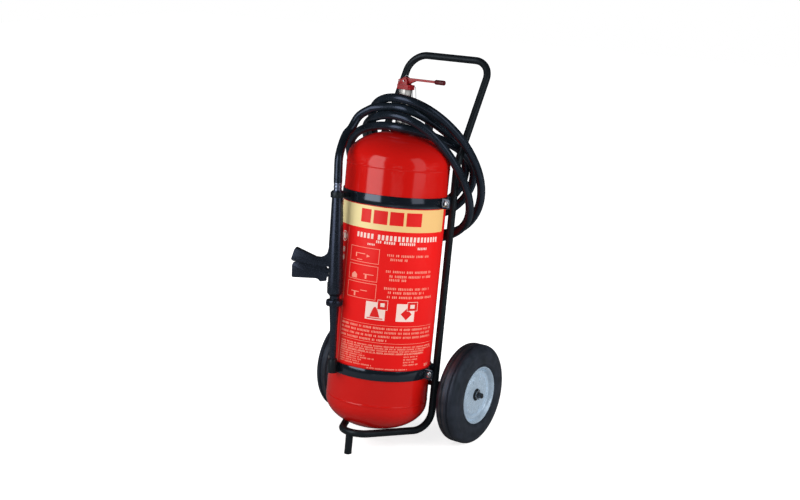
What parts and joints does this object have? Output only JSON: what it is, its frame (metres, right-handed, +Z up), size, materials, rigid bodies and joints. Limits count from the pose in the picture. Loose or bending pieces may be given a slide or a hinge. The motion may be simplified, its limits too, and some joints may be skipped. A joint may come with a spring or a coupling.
{
  "type": "wheeled fire extinguisher",
  "caption": "Red pressure tank strapped to a tubular two-wheel trolley, with a lever valve, a coiled hose and a pistol lance clipped to its side.",
  "frame": {"origin": "on the floor under the middle of the object's box, measured without the free hose", "axes": "+X the object's right, +Y its back (handle side), +Z up"},
  "size_m": [0.533, 0.5549, 1.1418],
  "materials": {
    "red_paint": "gloss red enamel",
    "black_paint": "satin black powder coat",
    "label_film": "printed film label, cream band over red",
    "zinc_steel": "bright zinc-plated steel",
    "silver_paint": "silver enamel on pressed steel",
    "tyre_rubber": "matt black rubber",
    "nickel_brass": "nickel-plated brass",
    "hose_rubber": "smooth black rubber",
    "black_plastic": "black moulded plastic",
    "white_plastic": "white moulded plastic"
  },
  "bodies": {
    "trolley": {"tank_shell": "red_paint", "neck_boss": "red_paint", "relief_plug": "nickel_brass", "siphon_tube": "white_plastic", "siphon_strainer": "white_plastic", "label_sheet": "label_film", "front_strap_low": "black_paint", "front_strap_high": "black_paint", "rear_strap_low": "black_paint", "rear_strap_high": "black_paint", "strap_bolts": "zinc_steel", "strap_nuts": "zinc_steel", "leg_left": "black_paint", "leg_right": "black_paint", "handle_bow": "black_paint", "base_arm_left": "black_paint", "base_arm_right": "black_paint", "foot_peg": "black_paint", "axle_bracket_left": "black_paint", "axle_bracket_right": "black_paint", "axle_rod": "zinc_steel", "axle_spacers": "black_paint", "axle_washers": "zinc_steel", "split_pins": "zinc_steel", "valve_body": "nickel_brass", "bonnet_nut": "nickel_brass", "valve_head": "red_paint", "lever_pin": "zinc_steel", "tether_loop": "zinc_steel", "outlet_nut": "nickel_brass", "ferrule_valve": "nickel_brass", "hose_tail": "hose_rubber", "hose_coil": "hose_rubber", "hose_lead": "hose_rubber", "ferrule_lance": "nickel_brass", "lance_collar": "black_plastic", "pistol_body": "black_plastic", "trigger_pin": "zinc_steel", "coupling_ring": "black_plastic", "nozzle_tube": "black_plastic", "lance_clip": "black_paint", "nozzle_holder": "black_paint"},
    "wheel_left": {"tyre_left": "tyre_rubber", "rim_left": "silver_paint", "hub_left": "black_paint"},
    "wheel_right": {"tyre_right": "tyre_rubber", "rim_right": "silver_paint", "hub_right": "black_paint"},
    "lever": {"lever_arm": "red_paint", "lever_grip": "black_plastic"},
    "spindle": {"valve_spindle": "zinc_steel"},
    "safety": {"safety_pin": "zinc_steel", "pin_ring": "zinc_steel"},
    "trigger": {"trigger_lever": "black_plastic"}
  },
  "joints": [
    {"name": "wheel_left_spin", "type": "hinge", "parent": "trolley", "child": "wheel_left", "pos_m": [-0.222, 0.1, 0.152], "axis": [1, 0, 0], "continuous": true},
    {"name": "wheel_right_spin", "type": "hinge", "parent": "trolley", "child": "wheel_right", "pos_m": [0.222, 0.1, 0.152], "axis": [1, 0, 0], "continuous": true},
    {"name": "lever_lift", "type": "hinge", "parent": "trolley", "child": "lever", "pos_m": [0, 0.02453, 1.08022], "axis": [0, -0.9945, 0.1045], "range_deg": [0, 80]},
    {"name": "spindle_press", "type": "slide", "parent": "trolley", "child": "spindle", "axis": [0, -0.1045, -0.9945], "range_m": [0, 0.0024]},
    {"name": "safety_pull", "type": "slide", "parent": "trolley", "child": "safety", "axis": [0, 0.9945, -0.1045], "range_m": [0, 0.032]},
    {"name": "trigger_squeeze", "type": "hinge", "parent": "trolley", "child": "trigger", "pos_m": [-0.0876, -0.20925, 0.53622], "axis": [-0.5299, 0.8416, -0.1043], "range_deg": [0, 10], "stiffness_Nm_per_rad": 2, "springref_deg": -8.59}
  ],
  "couplings": [
    {"joint": "spindle_press", "follows": "lever_lift", "m_per_rad": 0.001718}
  ]
}
